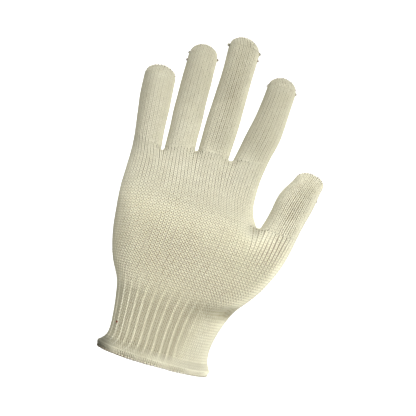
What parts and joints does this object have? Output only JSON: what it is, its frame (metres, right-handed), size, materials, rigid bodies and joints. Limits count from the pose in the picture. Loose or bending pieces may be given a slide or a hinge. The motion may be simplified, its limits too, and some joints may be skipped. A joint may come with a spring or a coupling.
{
  "type": "string knit glove",
  "caption": "Seamless string knit work glove with a ribbed cuff and an overcast hem, in the open shape of the hand that wears it.",
  "frame": {"origin": "the middle of the wrist opening, in the plane of the lower edge of the hem", "axes": "+Z along the hand to the fingertips, +X to the thumb side, -Y out of the palm"},
  "size_m": [0.1437, 0.0502, 0.2385],
  "materials": {
    "cotton_knit": "soft matt natural cotton and polyester yarn, plain knit",
    "overcast_edge": "soft matt yarn, overcast knit edge"
  },
  "bodies": {
    "root": {"hem": "overcast_edge", "cuff": "cotton_knit", "lower_palm": "cotton_knit", "upper_palm": "cotton_knit", "little_finger": "cotton_knit", "ring_finger": "cotton_knit", "middle_finger": "cotton_knit", "index_finger": "cotton_knit", "thumb": "cotton_knit"}
  },
  "joints": []
}
